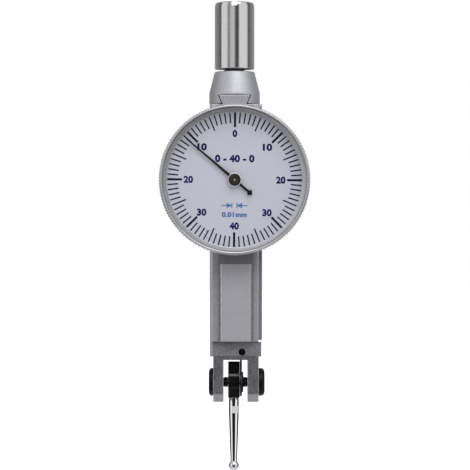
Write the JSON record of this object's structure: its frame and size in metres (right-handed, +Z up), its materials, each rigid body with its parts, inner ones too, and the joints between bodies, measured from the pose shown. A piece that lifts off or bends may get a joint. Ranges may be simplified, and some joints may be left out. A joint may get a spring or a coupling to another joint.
{
  "type": "dial test indicator",
  "caption": "lever-type dial test indicator with a round knurled bezel, a dovetailed body, a stem on a dovetail clamp, and a tapered ball-ended stylus in a fork",
  "frame": {"origin": "on the stem's axis, at the middle of the stem's length", "axes": "+Z up along the stem, away from the stylus; the dial faces -Y; +X is to the right of a person who reads the dial"},
  "size_m": [0.03, 0.0201, 0.0946],
  "materials": {
    "bright_steel": "turned and plated, bright, with dark and light bands along it",
    "polished_steel": "mirror polished",
    "satin_chrome": "satin chrome over fine ground steel",
    "blasted_steel": "bead blasted, grey",
    "black_steel": "black oxide, slightly glossy",
    "carbide": "polished hard metal",
    "brass": "clean brass",
    "blue_steel": "blued spring steel",
    "ruby": "polished red jewel",
    "hand_paint": "black lacquer",
    "hub_metal": "dark plated, with a bright rim",
    "dial_paint": "smooth pale lavender grey paint with printed graduations",
    "crystal_clear": "clear, polished"
  },
  "bodies": {
    "case": {"main_frame": "satin_chrome", "side_cover": "blasted_steel", "side_cover_screw_1": "black_steel", "side_cover_screw_2": "black_steel", "side_cover_screw_3": "black_steel", "side_cover_screw_4": "black_steel", "travel_stop_front": "black_steel", "travel_stop_rear": "black_steel", "return_spring": "blue_steel", "movement_plate_rear": "brass", "movement_plate_front": "brass", "movement_pillar_1": "brass", "movement_pillar_2": "brass", "movement_pillar_3": "brass", "movement_pillar_screw_1": "bright_steel", "movement_pillar_screw_2": "bright_steel", "movement_pillar_screw_3": "bright_steel", "centre_jewel_rear": "ruby", "centre_jewel_front": "ruby", "hairspring": "blue_steel", "hairspring_stud": "brass", "crown_bridge": "brass", "crown_bridge_screw_1": "bright_steel", "crown_bridge_screw_2": "bright_steel", "crown_bridge_screw_3": "bright_steel", "crown_jewel_left": "ruby", "crown_jewel_right": "ruby", "bezel_friction_ring": "bright_steel", "pivot_screw_left": "black_steel", "pivot_screw_right": "black_steel", "pivot_bearing_left": "bright_steel", "pivot_bearing_right": "bright_steel"},
    "clamp": {"dovetail_clamp": "satin_chrome"},
    "stem": {"stem_barrel": "bright_steel", "clamp_stud": "black_steel"},
    "bezel": {"bezel": "satin_chrome", "crystal": "crystal_clear", "dial_plate": "dial_paint", "dial_retaining_ring": "bright_steel"},
    "pointer": {"centre_arbor": "bright_steel", "hairspring_collet": "brass", "pointer_hand": "hand_paint", "pointer_hub": "hub_metal"},
    "crown": {"crown_wheel": "brass", "crown_arbor": "bright_steel"},
    "lever": {"sector_lever": "black_steel", "pivot_axle": "bright_steel", "pivot_spacer_left": "black_steel", "pivot_spacer_right": "black_steel", "friction_washer": "black_steel"},
    "stylus": {"stylus_carrier": "black_steel", "stylus_shank": "polished_steel", "stylus_ball": "carbide"}
  },
  "joints": [
    {"name": "lever_swing", "type": "hinge", "parent": "case", "child": "lever", "pos_m": [0, 0, -0.06987], "axis": [1, 0, 0], "range_deg": [-3, 3], "stiffness_Nm_per_rad": 0.05},
    {"name": "pointer_turn", "type": "hinge", "parent": "case", "child": "pointer", "pos_m": [0, 0, -0.02927], "axis": [0, 1, 0], "range_deg": [-397, 397]},
    {"name": "crown_turn", "type": "hinge", "parent": "case", "child": "crown", "pos_m": [0, 0, -0.02927], "axis": [1, 0, 0], "range_deg": [-100, 100]},
    {"name": "stylus_swivel", "type": "hinge", "parent": "lever", "child": "stylus", "pos_m": [0, 0, -0.06987], "axis": [1, 0, 0], "range_deg": [-110, 110]},
    {"name": "bezel_turn", "type": "hinge", "parent": "case", "child": "bezel", "pos_m": [0, 0, -0.02927], "axis": [0, 1, 0], "continuous": true},
    {"name": "clamp_slide", "type": "slide", "parent": "case", "child": "clamp", "axis": [0, 1, 0], "range_m": [-0.004, 0.004]},
    {"name": "stem_turn", "type": "hinge", "parent": "clamp", "child": "stem", "pos_m": [0, 0, 0], "axis": [0, 0, 1], "range_deg": [0, 180]}
  ],
  "couplings": [
    {"joint": "pointer_turn", "follows": "lever_swing", "ratio": 132},
    {"joint": "crown_turn", "follows": "lever_swing", "ratio": -33}
  ]
}
